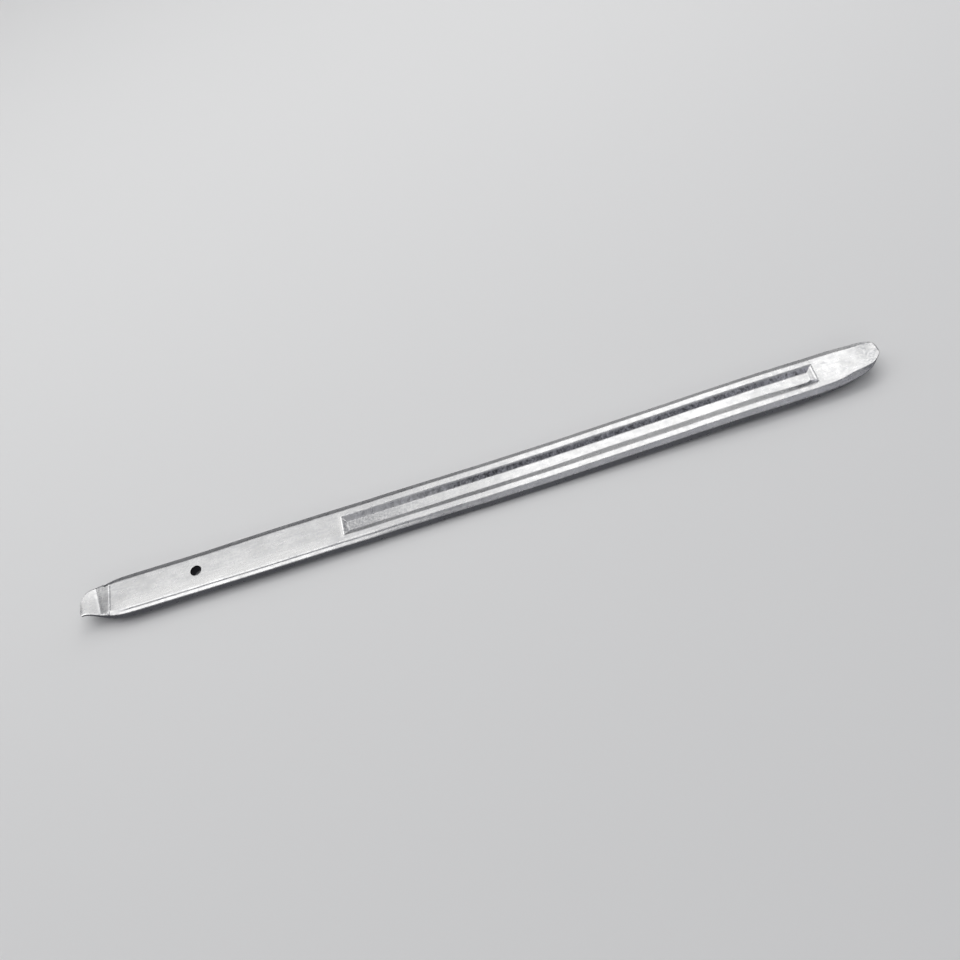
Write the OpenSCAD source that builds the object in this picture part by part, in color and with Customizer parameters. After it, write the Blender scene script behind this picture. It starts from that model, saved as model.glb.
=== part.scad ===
// Drop-forged tyre lever: one solid steel bar, about 500 mm long.
// X runs along the lever, from the hooked lip (-X) to the curved spoon (+X).
// Y is the width and Z is up. The origin is under the middle of the bar, on
// the plane that the lever rests on.

/* [Bar] */
// Overall length, tip to tip
lever_l = 500; // [450:10:600]
// Width of the shank at its parting line
lever_w = 28.5; // [26:0.5:32]
// Thickness of the shank at mid length
lever_t = 7.4; // [7:0.1:9]
// Width of the flat top face of the shank
face_w = 21.7; // [20:0.1:23]
// Drop of the bevel along each top edge at mid length
bevel_h = 1.25; // [0.8:0.05:1.6]

/* [Channel] */
// Depth of the forged channel, the same in the top and in the underside
channel_d = 1.7; // [1:0.05:2]
// Width of the channel at the face, next to the tang
channel_w = 13.9; // [12:0.1:15]
// Width of the channel's flat floor
floor_w = 6.4; // [5:0.1:8]
// Start of the channel, measured from mid length towards the lip
channel_a = 87; // [75:1:110]
// End of the channel, measured from mid length towards the spoon
channel_b = 210; // [180:1:212]
// Length of the sloped wall at each end of the channel
end_slope = 3.8; // [3:0.1:5]

/* [Hang hole] */
// Diameter of the hang hole
hole_d = 6.8; // [5:0.1:9]
// Distance of the hang hole from mid length, towards the lip
hole_x = 179.1; // [150:0.1:200]
// Offset of the hang hole from the centre line
hole_y = 1; // [-1:0.1:1]

/* [Ends] */
// Height of the lip's rim above the flat tang
lip_rise = 2.6; // [1.5:0.1:3]
// Depth of the cupped groove behind the lip
groove_d = 0.2; // [0.1:0.1:0.8]
// Rise of the spoon's tip above the channel's end
spoon_rise = 3.4; // [2:0.1:5]
// Depth of the shallow dish in the spoon's top
dish_d = 0.35; // [0:0.05:0.5]

/* [Hidden] */

kx = lever_l / 500;           // stations are laid out on a 500 mm bar
kw = lever_w / 28.5;          // widths follow the shank's width
t0 = lever_t;                 // height of the top face at mid length
face_k = face_w / 21.7;
hole_r = hole_d / 2;

// Value of a station table [[x, value], ...] at x, eased between stations
function seg(tab, x, i = 0) =
    i >= len(tab) - 2 || x < tab[i + 1][0] ? i : seg(tab, x, i + 1);
function slope(tab, i) =
    (tab[i + 1][1] - tab[i][1]) / (tab[i + 1][0] - tab[i][0]);
function knot(tab, i) =
    i <= 0 ? slope(tab, 0)
    : i >= len(tab) - 1 ? slope(tab, len(tab) - 2)
    : let (a = slope(tab, i - 1), b = slope(tab, i),
           h0 = tab[i][0] - tab[i - 1][0], h1 = tab[i + 1][0] - tab[i][0],
           w0 = 2 * h1 + h0, w1 = h1 + 2 * h0)
      a * b <= 0 ? 0 : (w0 + w1) / (w0 / a + w1 / b);
function ease(tab, x) =
    let (i = seg(tab, x), h = tab[i + 1][0] - tab[i][0],
         q = (x - tab[i][0]) / h, t = min(max(q, 0), 1))
    (2 * t * t * t - 3 * t * t + 1) * tab[i][1]
    + (t * t * t - 2 * t * t + t) * h * knot(tab, i)
    + (3 * t * t - 2 * t * t * t) * tab[i + 1][1]
    + (t * t * t - t * t) * h * knot(tab, i + 1);

// Plan: half width at the parting line
half_w = [[-250, 2.6], [-249.6, 4.4], [-249, 5.8], [-248, 6.8], [-246.4, 7.9],
    [-244.8, 8.7], [-243, 9.4], [-241, 10], [-239, 10.5], [-237, 11],
    [-233, 12.2], [-229, 13], [-225, 13.4], [-214, 13.7], [-177, 13.8],
    [-128, 14.25], [150, 14.3], [180, 14.5], [205, 14.4], [213, 14.3],
    [222, 13.9], [228, 13.2], [232, 12.5], [236, 11.7], [240, 10.6],
    [242, 9.8], [244, 8.7], [246, 7.4], [247.5, 6.2], [248.7, 5.1],
    [249.5, 3.8], [250, 2.6]];
// Plan: half width of the top face, inside the bevels
half_f = [[-250, 1.4], [-249.6, 3], [-248.9, 4.6], [-247.4, 6], [-245.5, 7.1],
    [-243.5, 8], [-241, 8.7], [-237, 9.5], [-232, 10.3], [-226, 10.7],
    [-219, 10.85], [0, 10.85], [150, 11], [205, 10.9], [213, 10.6],
    [219, 10.2], [225, 9.6], [231, 8.6], [237.5, 8.5], [240, 8.2], [242, 7.9],
    [244, 7.3], [246, 6.6], [247.5, 5.6], [248.7, 4.5], [249.5, 3.3], [250, 2.2]];
// Plan: sideways lean of the two hand-dressed tips
lean = [[-250, -1.6], [-249, -1.3], [-248, -0.6], [-246.4, 0.2],
    [-244.8, 0.6], [-243, 1], [-241, 1], [-237.5, 0.7], [-232, 0.4],
    [-228, 0.2], [-222, 0], [222, 0], [236, 0.1], [240, 0.4], [242, 0.8],
    [244, 1.3], [246, 1.8], [248, 2.1], [249, 2.2], [250, 2.2]];
// Side view: top face against its height at mid length, with the tang's and
// the spoon's upward bow; the last two steps belong to the lip and the spoon
bow_a = 2.6;                  // top face beside the lip's groove
bow_b = 2.3;                  // top face at the channel's spoon end
top_z = [[-250, bow_a + lip_rise - 0.2], [-249.4, bow_a + lip_rise],
    [-248, bow_a + lip_rise], [-246, bow_a + 0.8 * lip_rise],
    [-243, bow_a + 0.38 * lip_rise], [-240.6, bow_a], [-239.8, bow_a - 0.1],
    [-235, bow_a + 0.15], [-233, bow_a + 0.3], [-232, bow_a], [-226, bow_a],
    [-201, 2.2], [-176, 1.75],
    [-151, 1.6], [-126, 1.5], [-101, 1.3], [-76, 0.85], [-51, 0.5],
    [-26, 0.2], [-11, 0], [40, 0], [54, 0.15], [74, 0.5], [99, 1],
    [124, 1.5], [140, 1.95], [158, 2.3], [176, 2.5], [210, bow_b],
    [220, bow_b + 0.09 * spoon_rise], [226, bow_b + 0.2 * spoon_rise],
    [232, bow_b + 0.35 * spoon_rise], [238, bow_b + 0.6 * spoon_rise],
    [242, bow_b + 0.77 * spoon_rise], [246, bow_b + 0.91 * spoon_rise],
    [249, bow_b + spoon_rise], [250, bow_b + 0.97 * spoon_rise]];
// Drop of the bevel, from the top face to the parting band
drop = [[-250, 0.3], [-245, 0.4], [-240.6, 0.3], [-237, 0.6], [-232, 0.8],
    [-200, 0.95], [-60, 1], [-30, 1.1], [10, bevel_h], [140, bevel_h],
    [176, 1.5], [205, 1.6], [221, 1.5], [232, 1.2], [240, 0.8], [244, 0.5],
    [247.5, 0.35], [250, 0.3]];
// Height of the upright side band, under the bevel
band = [[-250, 0.5], [-248, 1.2], [-243, 1.9], [-238, 2.9], [-232, 3.8],
    [-226, 4.4], [-214, 4.6], [-177, 4.15], [-128, 4.15], [-103, 4.4],
    [-60, 4.8], [85, 5], [140, 5], [158, 4.7], [176, 4.5], [195, 4.3],
    [204, 3.6], [212, 2.6], [221, 1.8], [227, 1.5], [232, 0.9], [239, 0.7],
    [247, 0.6], [250, 0.4]];
// Underside against the same datum: flat under the middle of the bar
low_z = [[-250, 3], [-248, 2], [-243.5, 0.2], [-238.5, -1.4], [-232, -2.8],
    [-225, -3.6], [-200, -4.2], [-150, -4.9], [-100, -6], [-60, -6.9],
    [-25, -7.3], [-10, -7.4], [60, -7.4], [80, -7.3], [100, -7],
    [140, -6.2], [160, -5.7], [195, -5.3], [204, -4.8], [212, -3.6],
    [221, -2.2], [226, -1.2], [232, 0], [239, 1.4], [243, 2.2], [247, 3.3],
    [250, 4.3]];
// Cupped groove behind the lip, and the dish in the spoon
cup = [[-250, 0.1], [-244, 0.1], [-240.6, groove_d], [-235, 0.15],
    [-231.5, 0], [225, 0], [233, dish_d * 0.6], [241, dish_d],
    [247, dish_d * 0.7], [250, 0]];

// Stations of the cross-sections: close at the ends and at the channel's
// corners, wide apart along the shank
xs_lip = [-250, -249.7, -249.2, -248.5, -247.5, -246.3, -245, -243.7, -242.4,
    -241.4, -240.6, -239.8, -238.5, -236.8, -235, -233.5, -232, -231.4, -229,
    -226, -222, -217, -210, -203, -196, -190, -168, -160, -150, -140, -130,
    -120, -110, -100, -93];
xs_mid = [for (x = [-75 : 15 : 195]) x];
xs_spoon = [202, 214, 217, 220, 223, 226, 229, 232, 234.5, 237, 239.5, 241.5,
    243.2, 244.8, 246.2, 247.4, 248.4, 249.2, 249.7, 250];
// Just inside and just outside each end of the channel
xs_ends = [-channel_a / kx, -(channel_a - end_slope / 2) / kx,
    -(channel_a - end_slope) / kx, (channel_b - end_slope) / kx,
    (channel_b - end_slope / 2) / kx, channel_b / kx];
function keep(list, gap) = [for (x = list)
    if (min([for (e = xs_ends) abs(x - e)]) > gap) x];
function sorted(v) = len(v) < 2 ? v
    : let (p = v[floor(len(v) / 2)])
      concat(sorted([for (x = v) if (x < p) x]), [p],
             sorted([for (x = v) if (x > p) x]));
stations = sorted(concat(xs_lip, keep(xs_mid, 1.5), keep(xs_spoon, 1.5),
    xs_ends));

// Share of the channel's full depth at a station, 0 outside the channel
function sunk(x) = min(max(min(x * kx + channel_a, channel_b - x * kx)
    / end_slope, 0), 1);
// The channel widens slightly towards the spoon
function ch_half(x) = kw * (channel_w / 2 + 0.65 * min(max((x + 87) / 207, 0), 1));
function fl_half(x) = floor_w / 2 + 0.45 * min(max((x + 87) / 207, 0), 1);

// One cross-section: 24 points, clockwise seen from the spoon
function section(x) =
    let (w = kw * ease(half_w, x), f = min(face_k * kw * ease(half_f, x), w - 0.3),
         y0 = ease(lean, x),
         zt = t0 + ease(top_z, x), zr = zt - ease(drop, x),
         zl = zr - ease(band, x), zb = min(t0 * (1 + min(ease(low_z, x), 0) / 7.4)
             + max(ease(low_z, x), 0), zl - 0.3),
         s = sunk(x), d = channel_d * s,
         c = min(ch_half(x), f * 0.8), g = c - (c - min(fl_half(x), f * 0.7)) * max(s, 0.04),
         m = g * 0.72, u = ease(cup, x),
         half = [[c, zt], [f, zt], [w, zr], [w, (zr + zl) / 2], [w, zl],
                 [f, zb], [c, zb]],
         top = [[-g, zt - d - u * 0.8], [-m, zt - d - u], [m, zt - d - u],
                [g, zt - d - u * 0.8]],
         low = [[g, zb + d], [m, zb + d], [-m, zb + d], [-g, zb + d]])
    [for (p = concat(top, half, low,
        [for (i = [6 : -1 : 0]) [-half[i][0], half[i][1]]]))
        [x * kx, y0 + p[0], p[1]]];

// Skin through all the sections; each tip is closed by a fan around its middle
module loft(rings) {
    n = len(rings[0]);
    k = len(rings);
    mid = [for (r = [rings[0], rings[k - 1]]) [for (i = [0 : 2])
        r * [for (j = [0 : 2]) i == j ? 1 : 0] * [for (j = [1 : n]) 1 / n]]];
    pts = concat([for (r = rings) each r], mid);
    skin = [for (i = [0 : k - 2], j = [0 : n - 1])
        let (a = i * n + j, b = i * n + (j + 1) % n) [a, b, b + n, a + n]];
    quads = [for (q = skin) each [[q[0], q[1], q[2]], [q[0], q[2], q[3]]]];
    caps = [for (j = [0 : n - 1]) each [[(j + 1) % n, j, k * n],
        [(k - 1) * n + j, (k - 1) * n + (j + 1) % n, k * n + 1]]];
    polyhedron(points = pts, faces = concat(quads, caps));
}

// The whole forging: shank, tang, lip and spoon are one piece of steel
module forged_bar() {
    color([0.80, 0.80, 0.79])
        difference() {
            loft([for (x = stations) section(x)]);
            translate([-hole_x, hole_y, -1])
                cylinder(h = lever_t + 8, r = hole_r, $fn = 64);
        }
}

forged_bar();
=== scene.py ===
import math
import bpy
import numpy as np
from mathutils import Matrix, Vector, noise


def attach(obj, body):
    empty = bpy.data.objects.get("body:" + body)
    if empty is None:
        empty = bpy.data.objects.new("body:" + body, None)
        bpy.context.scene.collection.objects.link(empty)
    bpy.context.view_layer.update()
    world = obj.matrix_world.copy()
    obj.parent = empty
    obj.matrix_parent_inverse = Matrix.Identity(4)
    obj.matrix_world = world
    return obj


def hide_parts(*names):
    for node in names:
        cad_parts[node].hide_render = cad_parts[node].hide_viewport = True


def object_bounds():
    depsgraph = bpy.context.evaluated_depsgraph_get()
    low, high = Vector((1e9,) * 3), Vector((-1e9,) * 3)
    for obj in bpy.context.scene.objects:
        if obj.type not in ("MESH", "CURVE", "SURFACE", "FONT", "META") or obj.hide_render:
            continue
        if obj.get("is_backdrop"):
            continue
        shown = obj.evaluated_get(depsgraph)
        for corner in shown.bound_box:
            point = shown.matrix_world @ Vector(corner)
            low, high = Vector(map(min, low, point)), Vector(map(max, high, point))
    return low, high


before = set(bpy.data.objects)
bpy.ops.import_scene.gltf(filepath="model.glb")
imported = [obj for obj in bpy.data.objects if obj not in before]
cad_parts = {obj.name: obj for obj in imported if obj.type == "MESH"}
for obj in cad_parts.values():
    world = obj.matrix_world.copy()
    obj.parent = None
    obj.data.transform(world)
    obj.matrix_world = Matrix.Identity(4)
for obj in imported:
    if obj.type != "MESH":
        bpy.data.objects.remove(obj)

cad_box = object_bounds()
MM = 0.001

# ------------------------------------------------------------------ shape laws
# Stations in mm along the lever, the same laws as the CAD part's, with the
# rounded edges, dressed tips and die marks that the CAD leaves out.


def law(tab):
    x = np.array([t[0] for t in tab], float)
    y = np.array([t[1] for t in tab], float)
    h = np.diff(x)
    d = np.diff(y) / h
    m = np.zeros_like(y)
    m[0], m[-1] = d[0], d[-1]
    for i in range(1, len(x) - 1):
        if d[i - 1] * d[i] > 0:
            w0, w1 = 2 * h[i] + h[i - 1], h[i] + 2 * h[i - 1]
            m[i] = (w0 + w1) / (w0 / d[i - 1] + w1 / d[i])

    def f(q):
        q = np.clip(np.asarray(q, float), x[0], x[-1])
        i = np.clip(np.searchsorted(x, q, side="right") - 1, 0, len(x) - 2)
        t = (q - x[i]) / h[i]
        return ((2 * t**3 - 3 * t**2 + 1) * y[i] + (t**3 - 2 * t**2 + t) * h[i] * m[i]
                + (3 * t**2 - 2 * t**3) * y[i + 1] + (t**3 - t**2) * h[i] * m[i + 1])
    return f


T0 = 7.4
HALF_W = law([(-250, 3.0), (-249.6, 4.75), (-249, 6.0), (-248, 6.8), (-246.4, 7.9), (-244.8, 8.65), (-243, 9.35),
              (-241, 10), (-239, 10.5), (-237, 11), (-233, 12.2), (-229, 13), (-225, 13.45), (-214, 13.7), (-177, 13.8),
              (-128, 14.25), (150, 14.3), (180, 14.5), (205, 14.4), (213, 14.3), (222, 13.9), (228, 13.2),
              (232, 12.5), (236, 11.7), (240, 10.6), (242, 9.75), (244, 8.6), (245, 7.95), (246, 7.3), (247, 6.6),
              (248, 5.8), (248.7, 5.1), (249.2, 4.3), (249.6, 3.4), (250, 2.4)])
HALF_F = law([(-250, 1.4), (-249.6, 3), (-248.9, 4.6), (-247.4, 6), (-245.5, 7.1), (-243.5, 8), (-241, 8.7),
              (-237, 9.5), (-232, 10.3), (-226, 10.7), (-219, 10.85), (0, 10.85), (150, 11), (205, 10.9),
              (213, 10.6), (219, 10.25), (225, 9.8), (232, 9), (238, 8.1), (242, 7.1), (244.4, 5.8), (246.2, 4.2),
              (247.3, 2.6), (248, 1.3), (248.8, 0.8), (250, 0.6)])
LEAN = law([(-250, -2.6), (-249, -1.95), (-248, -0.95), (-246.4, 0.15), (-244.8, 0.65), (-243, 1), (-241, 1.05),
            (-239.4, 0.98), (-237.5, 0.75), (-235, 0.6), (-232, 0.45), (-228, 0.25), (-222, 0.1), (-200, 0), (-72, 0),
            (-60, 0.2), (-12, 0.2), (2, 0), (213, 0), (222, 0.05), (236, 0.05), (240, 0.4), (242, 0.75), (244, 1.25),
            (245, 1.5), (246, 1.75), (247, 1.95), (248, 2.1), (249, 2.25), (250, 2.25)])
TOP_Z = law([(-250, 4.98), (-249.4, 5.13), (-248, 5.18), (-247, 5.0), (-246, 4.68), (-243, 3.58), (-241.2, 2.88),
             (-240.7, 2.62), (-240.3, 2.42), (-239.8, 2.45), (-235, 2.78), (-234.5, 2.83), (-233.4, 2.9),
             (-232.9, 2.58), (-226, 2.58), (-201, 2.2), (-176, 1.75), (-151, 1.6), (-126, 1.5), (-101, 1.3),
             (-76, 0.85), (-51, 0.5), (-26, 0.2), (-11, 0), (40, 0), (54, 0.15), (74, 0.5), (99, 1), (124, 1.5),
             (140, 1.95), (158, 2.3), (176, 2.5), (210, 2.3), (220, 2.6), (226, 2.98), (232, 3.5), (238, 4.34),
             (242, 4.92), (245, 5.3), (247.6, 5.56), (249, 5.6), (250, 5.5)])
DROP = law([(-250, 0.12), (-245, 0.2), (-240.6, 0.25), (-238, 0.4), (-236.4, 1.1), (-233.6, 1.1), (-231.5, 0.95),
            (-219, 1.15), (-177, 1.15), (-100, 1.1), (10, 1.3), (140, 1.3), (176, 1.5), (205, 1.55), (221, 1.45),
            (232, 1.1), (240, 0.7), (244, 0.42), (247.6, 0.2), (250, 0.1)])
BAND = law([(-250, 0.35), (-248, 0.7), (-243, 1.4), (-238, 2.6), (-232, 3.8), (-226, 4.4), (-214, 4.6),
            (-177, 4.15), (-128, 4.15), (-103, 4.4), (-60, 4.8), (85, 5), (140, 5), (158, 4.7), (176, 4.5),
            (195, 4.3), (204, 3.6), (212, 2.6), (221, 1.8), (227, 1.5), (232, 0.9), (239, 0.6), (247, 0.45),
            (250, 0.3)])
LOW_Z = law([(-250, 3.8), (-248, 2.9), (-243.5, 0.9), (-238.5, -1.1), (-232, -2.8), (-225, -3.6), (-200, -4.2),
             (-150, -4.9), (-100, -6), (-60, -6.9), (-25, -7.3), (-10, -7.4), (60, -7.4), (80, -7.3), (100, -7),
             (140, -6.2), (160, -5.7), (195, -5.3), (204, -4.8), (212, -3.6), (221, -2.2), (226, -1.2), (232, 0),
             (239, 1.4), (243, 2.2), (247, 3.3), (250, 4.2)])
CUP = law([(-250, 0.1), (-244, 0.15), (-240.6, 0.15), (-235, 0.1), (-231.5, 0), (225, 0), (233, 0.2),
           (241, 0.35), (246, 0.25), (250, 0)])
CH_A, CH_B, DEPTH = -87.0, 209.9, 1.7


def sstep(a, b, x):
    t = np.clip((x - a) / (b - a), 0, 1)
    return t * t * (3 - 2 * t)


def fract_noise(p, freq, octaves, seed):
    out = np.empty(len(p))
    off = Vector((seed * 13.7, seed * 7.3, seed * 3.1))
    for k in range(len(p)):
        out[k] = noise.fractal(Vector(p[k]) * freq + off, 0.8, 2.1, octaves)
    return out


# Stations: dense at the ends, at the channel's ends and along the die mark
def stations():
    pieces = [(-249.6, -243.0, 0.33), (-243, -230, 0.2), (-230, -187, 1.0), (-187, -171.6, 0.7),
              (-171.6, -89, 1.1), (-89, -82.5, 0.22), (-82.5, 202.5, 1.1), (202.5, 205.5, 0.3),
              (205.5, 210.8, 0.16), (210.8, 236, 0.9), (236, 246, 0.4), (246, 249.6, 0.24)]
    xs = []
    for a, b, s in pieces:
        n = max(2, int(round((b - a) / s)))
        xs += list(np.linspace(a, b, n, endpoint=False))
    return np.array(xs + [pieces[-1][1]])


X = stations()
NX = len(X)


def ramp_in(x):
    """0 outside the channel to 1 on its floor: the left end is one slope, the right end has a small step."""
    r = np.interp(CH_B - x, [0, 0.5, 1.6, 2.0, 4.0], [0, 0.22, 0.37, 0.52, 1])
    a = np.interp(x - CH_A, [-0.5, 0, 2.9, 3.5], [0, 0.06, 0.95, 1])
    return np.minimum(a, r)


def sink(x):
    """The same with its shoulder and its foot rounded, a little more at the left end."""
    off = np.linspace(-1, 1, 13)[:, None] * np.where(x < 0, 0.28, 0.2)
    return np.mean(ramp_in(x + off), 0)


wide = np.clip((X + 87) / 207, 0, 1)
w = HALF_W(X) - 0.01
rim_far = law([(-250, 0.5), (-244, 0.6), (-240.5, 0.8), (-238, 1.0), (-236.5, 2.3), (-233, 2.7), (-226, 3.2),
               (-219, 3.55), (-177, 3.65), (-128, 3.6), (0, 3.45), (150, 3.3), (180, 3.5), (222, 3.7), (232, 3.4),
               (236, 3.3), (240, 2.95), (243, 2.5), (246, 1.9), (248, 1.2), (249, 0.8), (250, 0.5)])(X)
rim_near = law([(-250, 0.5), (-247, 0.9), (-244, 1.2), (-241, 1.4), (-234.2, 1.5), (-233.5, 2.6), (-226, 3.4),
                (-219, 3.7), (-177, 3.75), (-128, 3.9), (-85, 3.85), (-40, 3.6), (0, 3.45), (150, 3.3), (180, 3.5), (222, 3.75),
                (227, 4.1), (231, 4.4), (234, 4.1), (237.5, 3.3), (239.8, 2.6), (241.5, 1.9), (243.5, 0.9), (245, 0.45),
                (246, 0.35), (248, 0.3), (250, 0.3)])(X)
f = w - rim_far
zt = T0 + TOP_Z(X)
zr = zt - DROP(X)
zl = zr - BAND(X)
zb = np.minimum(T0 + LOW_Z(X), zl - 0.3)
s = sink(X)
d = DEPTH * s
c0 = np.minimum(6.95 + 0.65 * wide, f * 0.8)
g0 = np.minimum(2.7 + 0.65 * wide, f * 0.7)
inside = np.clip(np.maximum(s, 0.04), 0, 1)
# the near right corner of the channel is round, the other three are mitred
arc = np.clip((X - 207.9) / 2.1, 0, 1)
c_near = c0 - 1.9 * (1 - np.sqrt(1 - 0.98 * arc**2))
g_near0 = 3.2 + 0.45 * wide + 0.8 * (1 - sstep(-55, 5, X)) - 0.9 * sstep(30, 80, X) * (1 - sstep(175, 198, X))
g_near0 = g_near0 - 1.9 * sstep(203.4, 207.6, X)
SIDES = {1: (c0, c0 - (c0 - g0) * inside), -1: (c_near, c_near - (c_near - g_near0) * inside)}
u = CUP(X)
lean = LEAN(X)
right = sstep(0, 90, X)

FACE = {1: w - rim_far, -1: w - rim_near}
RIM = {1: rim_far, -1: rim_near}
drop_near = law([(-250, 0.12), (-245, 0.2), (-240, 0.24), (-234.4, 0.3), (-233.5, 0.62), (-226, 0.8), (-219, 0.88), (-90, 0.92),
                 (-60, 0.98), (-30, 1.08), (10, 1.2), (140, 1.2), (176, 1.4), (205, 1.5), (221, 1.4), (232, 1.25), (239, 0.95),
                 (242, 0.6), (244.5, 0.32), (247, 0.18), (250, 0.12)])(X)
FALL = {1: DROP(X), -1: drop_near}
# a fine ledge where the face meets the bevel, sharpest on the tang
ledge = 0.14 * sstep(-229, -221, X) * (1 - 0.8 * sstep(-75, 10, X))
# where the groove's far and near ends were ground, the edge dips in
W_OF = {1: w - 0.15 * np.exp(-((X + 235.4) / 1.2) ** 2), -1: w - 0.3 * np.exp(-((X + 233.5) / 0.45) ** 2)}


def P(y, z):
    return np.stack([y, z], 1)


# Corner points of half a cross-section, from the top's middle to the bottom's
def corners_of(sign):
    c, g = SIDES[sign]
    cl, gl = SIDES[1]
    rim, fall = RIM[sign], FALL[sign]
    ws = W_OF[sign]
    sh, le = 0.22 * rim, 0.38 * rim
    return [P(0 * X, zt - d), P(g, zt - d), P(c, zt), P(FACE[sign], zt), P(FACE[sign] + sh, zt - fall * 0.22),
            P(FACE[sign] + le, zt - fall * 0.38 - ledge), P(ws, zt - fall), P(ws, np.minimum(zl, zt - fall - 0.2)),
            P(f * 0.985, zb), P(cl, zb), P(gl, zb + d), P(0 * X, zb + d)]



# How far each corner's rounding reaches along its two edges, in mm
reach = [0, 0.55, 0.4 + 0.35 * right, 0.7, 0.2, 0.25, 0.55, 0.8, 0.9, 0.6, 1.0, 0]
reach = [np.broadcast_to(np.asarray(r, float), X.shape) for r in reach]
n_edge = [9, 3, 4, 1, 1, 2, 6, 2, 2, 2, 8]       # straight runs between roundings
n_arc = [0, 3, 4, 3, 2, 2, 4, 3, 2, 2, 2, 0]     # divisions of each rounding
SIDE_RUN = [0, 0.3, 0.44, 0.5, 0.56, 0.7]     # where the side's points lie, close together at the flash line
NC = len(n_arc)


def half_section(sign):
    corners = corners_of(sign)
    pts = []
    ends = []
    for i in range(NC):
        if i in (0, NC - 1):
            ends.append((corners[i], corners[i]))
            continue
        e0 = corners[i - 1] - corners[i]
        e1 = corners[i + 1] - corners[i]
        l0 = np.linalg.norm(e0, axis=1)
        l1 = np.linalg.norm(e1, axis=1)
        t0 = np.minimum(reach[i], 0.45 * l0)[:, None] / np.maximum(l0, 1e-6)[:, None]
        t1 = np.minimum(reach[i], 0.45 * l1)[:, None] / np.maximum(l1, 1e-6)[:, None]
        ends.append((corners[i] + e0 * t0, corners[i] + e1 * t1))
    for i in range(NC - 1):
        a, b = ends[i][1], ends[i + 1][0]
        for k in range(n_edge[i]):
            pts.append(a + (b - a) * (SIDE_RUN[k] if i == 6 else k / n_edge[i]))
        if i < NC - 2:
            p0, pc, p1 = ends[i + 1][0], corners[i + 1], ends[i + 1][1]
            for k in range(n_arc[i + 1]):
                t = k / n_arc[i + 1]
                pts.append((1 - t) ** 2 * p0 + 2 * t * (1 - t) * pc + t * t * p1)
    pts.append(corners[NC - 1])
    arr = np.stack(pts, 1)                      # (NX, n, 2)
    arr[:, :, 0] *= sign
    return arr


hr = half_section(1)
hl = half_section(-1)
NHALF = hr.shape[1]
ring = np.concatenate([hr, hl[:, 1:-1][:, ::-1]], 1)     # closed: top middle, +Y side, bottom, -Y side
NR = ring.shape[1]

# The flash line where the two dies met, trimmed off but still to be seen
mid_side = sum(n_edge[:6]) + sum(n_arc[:7])
side_k = {mid_side + 3: 0.07}

# Everything above the side band follows the cup and the skew of the groove
TOP_N = mid_side


def top_law(x, yy):
    """The top's height law, with the groove's foot and its crest running askew across the lever."""
    foot, crest = -240.35 - 0.19 * yy, -233.3 - 0.03 * yy
    pairs = [(-250 + 0 * yy, -250), (foot, -240.6), (crest - 1.5, -234.5), (crest, -233.3), (crest + 0.3, -232.85),
             (-228 + 0 * yy, -228)]
    out = x.copy()
    for (a, ra), (b, rb) in zip(pairs[:-1], pairs[1:]):
        out = np.where((x >= a) & (x < b), ra + (x - a) * (rb - ra) / (b - a), out)
    return TOP_Z(out)


for k in list(range(TOP_N)) + list(range(NR - TOP_N + 1, NR)):
    yy, zz = ring[:, k, 0], ring[:, k, 1]
    face = np.where(yy >= 0, FACE[1], FACE[-1])
    ring[:, k, 1] = zz - u * np.clip(1 - (yy / face) ** 2, 0, 1) + top_law(X, yy) - TOP_Z(X)

V = np.zeros((NX, NR, 3))
V[:, :, 0] = X[:, None]
V[:, :, 1] = ring[:, :, 0] + lean[:, None]
V[:, :, 2] = ring[:, :, 1]
# the channel's right end runs a little askew, its far corner further right
skew = 0.11 * sstep(190, 205, X) * (1 - sstep(212, 224, X))
y_mid = ring[:, :TOP_N, 0]
V[:, :TOP_N, 0] += skew[:, None] * (np.minimum(y_mid, 9) + 7) * (1 - sstep(9, 13, y_mid)) * (y_mid > -7)
y_low = ring[:, NR - TOP_N + 1:, 0]
V[:, NR - TOP_N + 1:, 0] += skew[:, None] * np.clip(y_low + 7, 0, 7)
for k, amount in side_k.items():
    V[:, k, 1] += amount
    V[:, NR - k, 1] -= amount

# ------------------------------------------------------------------ mesh
ROLL = NHALF + (NHALF - 1 - mid_side - 3)               # first column: middle of the -Y side
V = np.roll(V, -ROLL, axis=1)
col_of = lambda k: (k - ROLL) % NR
HX, HY, HR = -179.1, 1.0, 3.4

verts = [tuple(p) for p in V.reshape(-1, 3)]
vid = np.arange(NX * NR).reshape(NX, NR)
i0 = int(np.argmin(abs(X - (HX - 5.6))))
i1 = int(np.argmin(abs(X - (HX + 5.6))))
top_c, low_c = col_of(0), col_of(NHALF - 1)
nj = 7
skip = set()
faces = []
for i in range(NX - 1):
    for j in range(NR):
        j2 = (j + 1) % NR
        if i0 <= i < i1 and (top_c - nj <= j < top_c + nj or low_c - nj <= j < low_c + nj):
            continue
        faces.append((vid[i, j], vid[i, j2], vid[i + 1, j2], vid[i + 1, j]))


def loop(cc):
    a, b = cc - nj, cc + nj
    out = [vid[i, a] for i in range(i0, i1)] + [vid[i1, j] for j in range(a, b)]
    out += [vid[i, b] for i in range(i1, i0, -1)] + [vid[i0, j] for j in range(b, a, -1)]
    return out


def by_angle(idx):
    ang = [math.atan2(verts[k][1] - HY, verts[k][0] - HX) for k in idx]
    return [k for _, k in sorted(zip(ang, idx))]


def surf(x, cc):
    return np.interp(x, X, V[:, cc, 2])


top_loop, low_loop = by_angle(loop(top_c)), by_angle(loop(low_c))
NL = len(top_loop)
EDGE = 0.1
rows = [top_loop]
zmid_hole = 0.5 * (surf(HX, top_c) + surf(HX, low_c))


def add_row(pts):
    base = len(verts)
    verts.extend(pts)
    rows.append(list(range(base, base + len(pts))))


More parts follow.
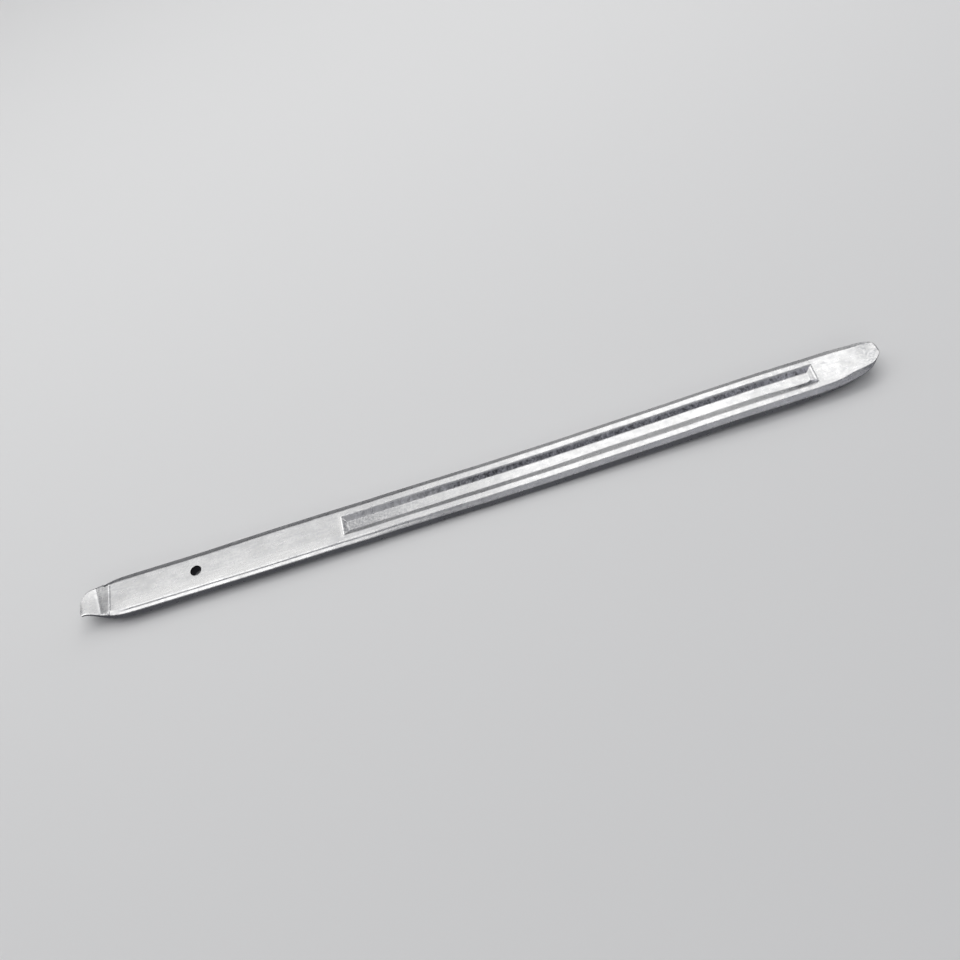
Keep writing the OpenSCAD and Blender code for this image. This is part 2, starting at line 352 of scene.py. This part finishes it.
def spokes(src, cc, radius, mix):
    out = []
    for k in src:
        x, y, z = verts[k]
        a = math.atan2(y - HY, x - HX)
        cx, cy = HX + radius * math.cos(a), HY + radius * math.sin(a)
        px, py = x + (cx - x) * mix, y + (cy - y) * mix
        out.append((px, py, float(surf(px, cc))))
    return out


R1 = HR + EDGE
for m in (0.25, 0.5, 0.75, 1.0):
    add_row(spokes(top_loop, top_c, R1, m))
for q in (22.5, 45, 67.5, 90):
    r = R1 - EDGE * math.sin(math.radians(q))
    dz = EDGE * (1 - math.cos(math.radians(q)))
    add_row([(HX + r * math.cos(a), HY + r * math.sin(a), float(surf(HX + r * math.cos(a), top_c)) - dz)
             for a in [math.atan2(verts[k][1] - HY, verts[k][0] - HX) for k in top_loop]])
top_wall = rows[-1]
low_rows = []
for q in (90, 67.5, 45, 22.5):
    r = R1 - EDGE * math.sin(math.radians(q))
    dz = EDGE * (1 - math.cos(math.radians(q)))
    low_rows.append([(HX + r * math.cos(a), HY + r * math.sin(a), float(surf(HX + r * math.cos(a), low_c)) + dz)
                     for a in [math.atan2(verts[k][1] - HY, verts[k][0] - HX) for k in low_loop]])
wall_pts = [verts[k] for k in top_wall]
for t in (0.25, 0.5, 0.75):
    add_row([(p[0], p[1], p[2] + (q[2] - p[2]) * t) for p, q in zip(wall_pts, low_rows[0])])
for r_ in low_rows:
    add_row(r_)
for m in (1.0, 0.75, 0.5, 0.25):
    add_row(spokes(low_loop, low_c, R1, m))
rows.append(low_loop)
for a, b in zip(rows[:-1], rows[1:]):
    for k in range(NL):
        k2 = (k + 1) % NL
        faces.append((a[k], b[k], b[k2], a[k2]))
hole_ids = set(k for r_ in rows for k in r_)


# Rounded tips: each end closes with a small roll-over and a fan
def close_tip(end):
    i = 0 if end < 0 else NX - 1
    base = [verts[k] for k in vid[i]]
    cy = float(np.mean([p[1] for p in base]))
    cz = 0.5 * (max(p[2] for p in base) + min(p[2] for p in base))
    hy = max(abs(p[1] - cy) for p in base)
    hz = max(abs(p[2] - cz) for p in base)
    prev = list(vid[i])
    for q in (20, 40, 60, 80):
        a = math.radians(q)
        dx, inset = 0.4 * math.sin(a), 0.4 * (1 - math.cos(a))
        ky, kz = 1 - 0.75 * (1 - math.cos(a)), max(0.05, 1 - 0.9 * inset / hz)
        start = len(verts)
        verts.extend([(base[0][0] + end * dx, cy + (p[1] - cy) * ky, cz + (p[2] - cz) * kz) for p in base])
        cur = list(range(start, start + NR))
        for j in range(NR):
            j2 = (j + 1) % NR
            q4 = (prev[j], prev[j2], cur[j2], cur[j])
            faces.append(q4 if end > 0 else q4[::-1])
        prev = cur
    start = len(verts)
    verts.append((base[0][0] + end * 0.4, cy, cz))
    for j in range(NR):
        t3 = (prev[j], prev[(j + 1) % NR], start)
        faces.append(t3 if end > 0 else t3[::-1])


close_tip(-1)
close_tip(1)

co = np.array(verts, float)
mesh = bpy.data.meshes.new("lever_forging")
mesh.from_pydata([tuple(p) for p in co], [], [tuple(int(k) for k in fc[::-1]) for fc in faces])
mesh.update()
print("faces", len(mesh.polygons), "verts", len(mesh.vertices), "stations", NX, "ring", NR)

# ------------------------------------------------------------------ forged skin
nrm = np.zeros(len(mesh.vertices) * 3, np.float32)
mesh.vertices.foreach_get("normal", nrm)
nrm = nrm.reshape(-1, 3)
x, y, z = co[:, 0], co[:, 1], co[:, 2]
ztx = np.interp(x, X, zt)
facing_up = np.clip(nrm[:, 2], 0, 1)
near_hole = 1 - sstep(3.6, 6.5, np.hypot(x - HX, y - HY))
wave = fract_noise(co * np.array([0.55, 1.0, 1.0]), 0.10, 2, 1.0)
peel = fract_noise(co, 0.36, 3, 2.0)
calm = 1 - 0.85 * near_hole
amount = (0.040 * wave + 0.007 * peel) * calm
amount -= 0.03                                    # keep the skin inside the CAD box
disp = nrm * amount[:, None]

# Zones for the material: the channel's walls, rough and darkened by painted shade (red), the rubbed rims with a painted
# highlight (green), the bore's painted shade (blue)
ax = np.clip((x + 87) / 207, 0, 1)
top_of = np.interp(x, X, zt)
low_of = np.interp(x, X, zb)
sy = np.interp(x, X, s)
gy, cy_ = 2.7 + 0.65 * ax, 6.95 + 0.65 * ax
depth_of = np.maximum(top_of - z, 0) * (nrm[:, 2] > 0.3) + np.maximum(z - low_of, 0) * (nrm[:, 2] < -0.3)
lean_of = np.interp(x, X, lean)
yy = abs(y - lean_of)
sideways = np.clip((abs(nrm[:, 1]) - 0.8 * abs(nrm[:, 0])) * 6, 0, 1)
# painted shade on the channel's walls, graded along the lever and by side, on top of their rougher forged skin
near_tone = 0.3 - 0.2 * sstep(20, 60, x) * (1 - sstep(165, 190, x)) + 0.5 * sstep(185, 203, x)
far_side = np.where((y - lean_of) * np.sign(nrm[:, 2]) > 0, 0.25 + 0.75 * sstep(-75, 5, x), near_tone)
wall_and_shade_zone = (yy < cy_ + 0.3) * sstep(0.15, 0.5, depth_of) * (abs(nrm[:, 2]) < 0.965) * (sy > 0.02) * sideways * far_side
# painted shade, gathered in the shade attribute: the channel floor's left part, the end walls, the groove, the line
# after the groove's crest, the tip's face, the near bevel and far rim at the right tip, the line at the channel's right
# end, the darker stretches of the walls and the near right corner
floor_zone = 0.7 * (yy < gy + 1.4) * (sy > 0.97) * (1 - sstep(-90, -15, x)) * (nrm[:, 2] > 0.95)
end_zone = 0.9 * (x < -82) * (sy > 0.1) * (sy < 0.95) * (yy < cy_) * (nrm[:, 2] > 0) * np.clip(abs(nrm[:, 0]) * 3, 0, 1)
foot_of, crest_of = -240.35 - 0.19 * (y - lean_of), -233.3 - 0.03 * (y - lean_of)
groove_zone = (0.55 - 0.42 * sstep(0.5, 5.0, x - foot_of)) * sstep(-0.2, 0.2, x - foot_of) * (1 - sstep(-1.9, -1.45, x - crest_of)) * (nrm[:, 2] > 0.5)
line_zone = 1.0 * sstep(0.0, 0.25, x - crest_of) * (1 - sstep(0.8, 1.1, x - crest_of)) * (nrm[:, 2] > 0.3) * (yy < 8.7)
corner_zone = 0.9 * sstep(204.3, 205.5, x) * (1 - sstep(209.5, 210, x)) * (y - lean_of < -2.9) * (yy < cy_ + 0.2)
corner_zone = corner_zone * (depth_of > 0.25) * (nrm[:, 2] > 0) * sstep(0.0, 1.2, -(y - lean_of) - 2.9 - 0.5 * np.clip(x - 207.5, 0, 5))
spoon_zone = 0.55 * sstep(233, 244, x) * (nrm[:, 2] > 0.3)
dark_bevel = (0.4 * sstep(206, 222, x) + 0.6 * sstep(232, 241, x)) * (nrm[:, 2] > 0.2) * sstep(0.15, 0.35, -nrm[:, 1]) * (y < 0)
far_tip = 0.9 * sstep(228, 240, x) * (nrm[:, 2] > 0.2) * sstep(0.1, 0.25, nrm[:, 1]) * (y > 0)
x_end = x - 0.11 * np.clip(y - lean_of + 7, 0, 16)
lip_line = 0.6 * sstep(209.2, 209.5, x_end) * (1 - sstep(210.0, 210.3, x_end)) * (yy < cy_) * (nrm[:, 2] > 0)
near_wall = (yy < cy_ + 0.3) * sstep(0.15, 0.5, depth_of) * (nrm[:, 2] < 0.965) * (nrm[:, 2] > 0) * (sy > 0.02) * sideways * (y < lean_of)
near_dark = 0.9 * near_wall * sstep(180, 203, x)
far_wall = (yy < cy_ + 0.3) * sstep(0.15, 0.5, depth_of) * (nrm[:, 2] < 0.965) * (nrm[:, 2] > 0) * (sy > 0.02) * sideways * (y > lean_of)
near_dark = np.maximum(near_dark, 0.95 * far_wall * sstep(-45, 5, x) * (1 - sstep(150, 200, x)))
# the near right corner's painted shade also goes into the wall colour
wall_and_shade_zone = np.maximum(wall_and_shade_zone, corner_zone)
shade_zone = np.max([floor_zone, end_zone, groove_zone, spoon_zone, line_zone, dark_bevel, far_tip, lip_line, near_dark, corner_zone], 0)
# painted shade: the bore's wall, near black in the colour
hole_shade_zone = (np.hypot(x - HX, y - HY) < HR + 0.08) * (abs(nrm[:, 2]) < 0.5)
tip = np.maximum(sstep(246, 249, x), sstep(-247, -249.3, x))
wide_of = np.interp(x, X, w)
rim = sstep(0.9, 0.2, abs(wide_of - yy)) * (nrm[:, 2] > 0.25)
# painted highlight: a bright rim round the channel's left end; and the near part of the tang's face made paler and
# smoother
rim_end_highlight = 0.9 * sstep(-89.4, -88.6, x) * (1 - sstep(-87.4, -86.9, x)) * (yy < 8.3) * (nrm[:, 2] > 0.8)
tang_pale_band = 0.7 * sstep(1, 8, lean_of - y) * sstep(-232, -228, x) * (1 - sstep(-120, -90, x)) * (nrm[:, 2] > 0)
face_of = np.interp(x, X, FACE[-1])
tang_pale_band = tang_pale_band * (1 - sstep(face_of - 0.9, face_of - 0.3, lean_of - y))
wear_and_highlight = np.clip(0.25 * tip * (nrm[:, 2] > 0.2) + 0.3 * rim + rim_end_highlight + tang_pale_band, 0, 1)

co = co + disp
co = np.clip(co, (-250, -14.5, 0), (250, 14.5, 13.09))
mesh.vertices.foreach_set("co", (co * MM).astype(np.float32).reshape(-1))
mesh.update()
lever = bpy.data.objects.new("lever_forging", mesh)
bpy.context.scene.collection.objects.link(lever)
mesh.shade_smooth()
zone_attr = mesh.color_attributes.new("zone", "FLOAT_COLOR", "POINT")
rgba = np.stack([np.clip(wall_and_shade_zone, 0, 1), wear_and_highlight, 1.0 * hole_shade_zone, 1 + 0 * wear_and_highlight], 1).astype(np.float32)
zone_attr.data.foreach_set("color", rgba.reshape(-1))
shade_attr = mesh.color_attributes.new("shade", "FLOAT_COLOR", "POINT")
grey = np.clip(shade_zone, 0, 1)
shade_attr.data.foreach_set("color", np.stack([grey, grey, grey, 1 + 0 * grey], 1).astype(np.float32).reshape(-1))

# ------------------------------------------------------------------ material
mat = bpy.data.materials.new("plated_steel")
mat.use_nodes = True
nt = mat.node_tree
nt.nodes.clear()
N = nt.nodes.new
L = nt.links.new
out = N("ShaderNodeOutputMaterial")
bsdf = N("ShaderNodeBsdfPrincipled")
L(bsdf.outputs[0], out.inputs[0])
bsdf.inputs["Metallic"].default_value = 1.0
tc = N("ShaderNodeTexCoord")
mp = N("ShaderNodeMapping")
mp.inputs["Scale"].default_value = (1000, 1000, 1000)
L(tc.outputs["Object"], mp.inputs["Vector"])


def tex_noise(scale, detail, rough, distort=0.0):
    n = N("ShaderNodeTexNoise")
    n.inputs["Scale"].default_value = scale
    n.inputs["Detail"].default_value = detail
    n.inputs["Roughness"].default_value = rough
    n.inputs["Distortion"].default_value = distort
    L(mp.outputs[0], n.inputs["Vector"])
    return n.outputs["Fac"]


def ramp(src, lo, hi, a, b):
    m = N("ShaderNodeMapRange")
    m.inputs["From Min"].default_value = lo
    m.inputs["From Max"].default_value = hi
    m.inputs["To Min"].default_value = a
    m.inputs["To Max"].default_value = b
    L(src, m.inputs["Value"])
    return m.outputs[0]


mottle = tex_noise(0.32, 4, 0.6, 0.3)
grain = tex_noise(0.75, 3, 0.6)
sparkle = tex_noise(3.2, 2, 0.6)
cloud = tex_noise(0.06, 3, 0.55, 0.4)
# faint diagonal grinding strokes, longer than they are wide
lay = N("ShaderNodeMapping")
lay.inputs["Rotation"].default_value = (0, 0, math.radians(38))
lay.inputs["Scale"].default_value = (0.22, 1.5, 1)
L(mp.outputs[0], lay.inputs["Vector"])
brush = tex_noise(0.5, 3, 0.6, 0.2)
L(lay.outputs[0], brush.node.inputs["Vector"])
# upright drag marks on the recess walls, stretched down the wall
up = N("ShaderNodeMapping")
up.inputs["Scale"].default_value = (0.85, 0.6, 0.6)
L(mp.outputs[0], up.inputs["Vector"])
streak = tex_noise(0.5, 3, 0.65, 0.4)
L(up.outputs[0], streak.node.inputs["Vector"])
zone = N("ShaderNodeAttribute")
zone.attribute_name = "zone"
zs = N("ShaderNodeSeparateColor")
L(zone.outputs["Color"], zs.inputs[0])
rough_wall_and_shade, worn_and_highlight, hole_shade = zs.outputs[0], zs.outputs[1], zs.outputs[2]
shade = N("ShaderNodeAttribute")
shade.attribute_name = "shade"


def math_node(op, a, b):
    m = N("ShaderNodeMath")
    m.operation = op
    for k, v in ((0, a), (1, b)):
        if isinstance(v, (int, float)):
            m.inputs[k].default_value = v
        else:
            L(v, m.inputs[k])
    return m.outputs[0]


def mix_rgb(fac, a, b):
    m = N("ShaderNodeMix")
    m.data_type = "RGBA"
    L(fac, m.inputs["Factor"])
    for k, v in (("A", a), ("B", b)):
        if isinstance(v, tuple):
            m.inputs[k].default_value = v
        else:
            L(v, m.inputs[k])
    return m.outputs["Result"]


# colour: zinc-bright skin, greyer and bluer on the recess walls, partly painted shade; paler where it is rubbed and on
# the painted highlight round the channel's left end
skin = mix_rgb(ramp(cloud, 0.35, 0.65, 0, 1), (0.72, 0.717, 0.705, 1), (0.87, 0.866, 0.853, 1))
skin = mix_rgb(ramp(grain, 0.42, 0.7, 0, 0.6), skin, (0.64, 0.645, 0.66, 1))
skin = mix_rgb(ramp(brush, 0.48, 0.7, 0, 0.65), skin, (0.66, 0.66, 0.67, 1))
wall = mix_rgb(ramp(streak, 0.36, 0.64, 0, 1), (0.19, 0.19, 0.20, 1), (0.76, 0.76, 0.79, 1))
skin = mix_rgb(rough_wall_and_shade, skin, wall)
# painted shade: the shade zones multiply the colour darker
painted_shade_mix = N("ShaderNodeMix")
painted_shade_mix.data_type = "RGBA"
painted_shade_mix.blend_type = "MULTIPLY"
L(math_node("MULTIPLY", shade.outputs["Fac"], ramp(grain, 0.35, 0.65, 0.4, 1.5)), painted_shade_mix.inputs["Factor"])
L(skin, painted_shade_mix.inputs["A"])
painted_shade_mix.inputs["B"].default_value = (0.52, 0.525, 0.54, 1)
skin = painted_shade_mix.outputs["Result"]
# paler on the worn tips and rims, and on the painted highlight and pale band
skin = mix_rgb(worn_and_highlight, skin, (0.90, 0.895, 0.88, 1))
# painted shade in the hole's bore
skin = mix_rgb(hole_shade, skin, (0.12, 0.12, 0.125, 1))
L(skin, bsdf.inputs["Base Color"])
rough = ramp(mottle, 0.3, 0.7, 0.24, 0.38)
rough = math_node("ADD", rough, math_node("MULTIPLY", rough_wall_and_shade, 0.05))
rough = math_node("SUBTRACT", rough, math_node("MULTIPLY", worn_and_highlight, 0.08))
L(rough, bsdf.inputs["Roughness"])
b0 = N("ShaderNodeBump")
b0.inputs["Strength"].default_value = 1.0
b0.inputs["Distance"].default_value = 0.00006
L(mottle, b0.inputs["Height"])
b1 = N("ShaderNodeBump")
b1.inputs["Strength"].default_value = 1.0
b1.inputs["Distance"].default_value = 0.000012
L(grain, b1.inputs["Height"])
L(b0.outputs[0], b1.inputs["Normal"])
b2 = N("ShaderNodeBump")
b2.inputs["Strength"].default_value = 1.0
b2.inputs["Distance"].default_value = 0.000012
L(sparkle, b2.inputs["Height"])
L(b1.outputs[0], b2.inputs["Normal"])
# grinding strokes over the whole skin, and rough forged walls in the channel
b3 = N("ShaderNodeBump")
b3.inputs["Strength"].default_value = 1.0
b3.inputs["Distance"].default_value = 0.00007
L(brush, b3.inputs["Height"])
L(b2.outputs[0], b3.inputs["Normal"])
b4 = N("ShaderNodeBump")
b4.inputs["Distance"].default_value = 0.00022
L(rough_wall_and_shade, b4.inputs["Strength"])
L(streak, b4.inputs["Height"])
L(b3.outputs[0], b4.inputs["Normal"])
L(b4.outputs[0], bsdf.inputs["Normal"])
mesh.materials.append(mat)

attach(lever, "root")
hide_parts("forged_bar")

# ------------------------------------------------------------------ stage
bpy.ops.mesh.primitive_plane_add(size=6, location=(0, 0, 0))
floor = bpy.context.object
floor.name = "floor"
fm = bpy.data.materials.new("floor")
fm.use_nodes = True
fb = fm.node_tree.nodes["Principled BSDF"]
fb.inputs["Base Color"].default_value = (0.78, 0.78, 0.775, 1)
fb.inputs["Roughness"].default_value = 0.9
fb.inputs["Specular IOR Level"].default_value = 0.2
floor.data.materials.append(fm)
floor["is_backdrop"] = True

floor.visible_glossy = False                      # a matt sweep: the metal mirrors the lights, not the paper

world = bpy.data.worlds.new("world")
bpy.context.scene.world = world
world.use_nodes = True
world.node_tree.nodes["Background"].inputs[0].default_value = (0.085, 0.087, 0.098, 1)
world.node_tree.nodes["Background"].inputs[1].default_value = 1.0
bpy.context.scene.view_settings.view_transform = "Standard"
bpy.context.scene.view_settings.look = "None"


def area(name, centre, target, sx, sy, radiance, color=(1, 1, 1), gloss=True, roll=0.0):
    ld = bpy.data.lights.new(name, "AREA")
    ld.shape = "RECTANGLE"
    ld.size, ld.size_y = sx, sy
    ld.energy = radiance * math.pi * sx * sy
    ld.color = color
    o = bpy.data.objects.new(name, ld)
    bpy.context.scene.collection.objects.link(o)
    dvec = Vector(target) - Vector(centre)
    o.matrix_world = Matrix.Translation(centre) @ dvec.to_track_quat("-Z", "Y").to_matrix().to_4x4() @ Matrix.Rotation(roll, 4, "Z")
    o.visible_glossy = gloss
    o.visible_camera = False
    return o


# Softboxes overhead and behind, brighter overhead and to the right, and low fills
area("over_left", (-0.8, 0.245, 1.0), (-0.8, 0.245, 0), 1.22, 0.45, 1.6)
area("over_right", (0.35, 0.37, 1.0), (0.35, 0.37, 0), 0.9, 0.2, 1.4)
area("back_left", (-0.5, 0.87, 1.0), (-0.5, 0.87, 0), 1.1, 0.8, 0.75)
area("back_right", (0.42, 0.92, 1.0), (0.42, 0.92, 0), 0.85, 0.9, 1.46)
area("front_over_left", (-0.4, -0.2, 1.0), (-0.4, -0.2, 0), 0.9, 0.4, 0.2, color=(0.95, 0.96, 1.04))
area("front_over_right", (0.6, -0.2, 1.0), (0.6, -0.2, 0), 1.1, 0.4, 0.4, color=(0.95, 0.96, 1.04))
area("back_low_left", (-0.8, 2.6, 0.65), (-0.8, 0, 0), 1.7, 1.3, 0.08)
area("back_low_right", (1.0, 2.6, 0.65), (1.0, 0, 0), 1.9, 1.3, 0.26)
area("back_mid_right", (0.75, 2.0, 1.15), (0.75, 0, 0), 1.6, 0.6, 0.29)
area("left_low", (-1.35, 0.5, 0.5), (-0.25, 0, 0), 0.8, 0.6, 0.6)
area("right_low", (1.25, 0.85, 0.53), (0, 0, 0), 0.9, 0.6, 0.75)
area("front_fill", (0, -1.3, 0.75), (0, 0, 0), 1.8, 0.5, 0.8)
area("floor_fill", (0, 0.0, 2.6), (0, 0, 0), 3.0, 3.0, 1.0, gloss=False)

# ------------------------------------------------------------------ camera
EL, ROLLDEG = math.radians(54.0), 17.76
D, F_PX, U0, V0 = 504.8, 840.0, 480.2, 482.55
cam = bpy.data.cameras.new("camera")
cam.sensor_width = 36
cam.lens = 36 * F_PX / 960
cam.clip_start = 0.01
cob = bpy.data.objects.new("camera", cam)
bpy.context.scene.collection.objects.link(cob)
ce, se = math.cos(EL), math.sin(EL)
right_v = Vector((1, 0, 0))
up_v = Vector((0, se, ce))
back_v = Vector((0, -ce, se))
# where the lever's middle falls in the unrolled picture, moved to the centre
target = Vector((0, 0, T0 * MM)) - right_v * ((U0 - 480) / F_PX * D * MM) + up_v * ((V0 - 480) / F_PX * D * MM)
pos = target + back_v * D * MM
a = math.radians(-ROLLDEG)
r2 = right_v * math.cos(a) + up_v * math.sin(a)
u2 = -right_v * math.sin(a) + up_v * math.cos(a)
m = Matrix((r2, u2, back_v)).transposed().to_4x4()
m.translation = pos
cob.matrix_world = m
bpy.context.scene.camera = cob

visual_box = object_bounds()


def plain(b):
    return [[float(v) for v in p] for p in b] if hasattr(b, "__len__") else str(b)


{"cad": plain(cad_box), "visual": plain(visual_box)}
